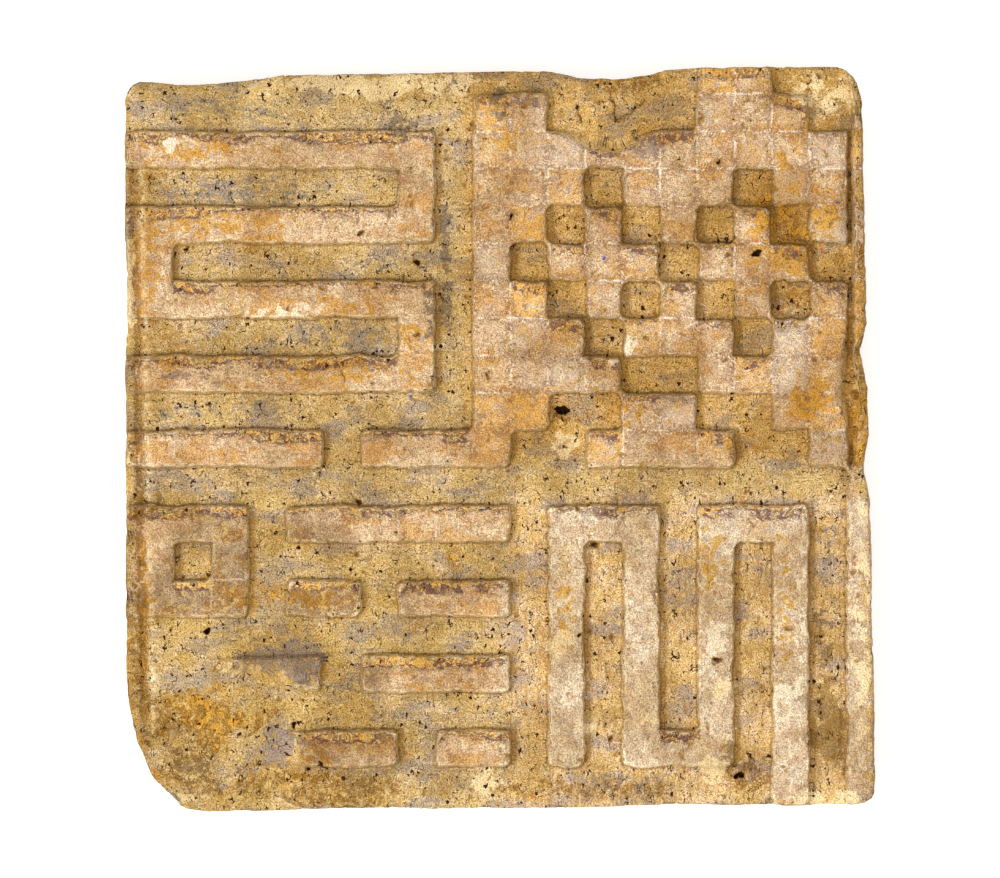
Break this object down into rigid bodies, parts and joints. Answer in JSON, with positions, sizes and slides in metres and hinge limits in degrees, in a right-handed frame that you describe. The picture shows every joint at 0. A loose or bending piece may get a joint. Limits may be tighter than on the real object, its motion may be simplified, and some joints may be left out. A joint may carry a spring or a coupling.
{
  "type": "carved clay tile",
  "caption": "Square slab of fired clay, its face carved in low relief with rows of shallow strokes and small square checks; worn, with one broken corner.",
  "frame": {"origin": "middle of the flat bedding face that the tile lies on, at the centre of its box", "axes": "+Z out of the carved face, +Y towards the tile's top edge, +X towards its right edge seen from the carved side"},
  "size_m": [0.2618, 0.2602, 0.0479],
  "materials": {
    "fired_clay": "matt buff fired clay, porous, with worn pinkish slip on the faces of the strokes"
  },
  "bodies": {
    "root": {"tile": "fired_clay"}
  },
  "joints": []
}
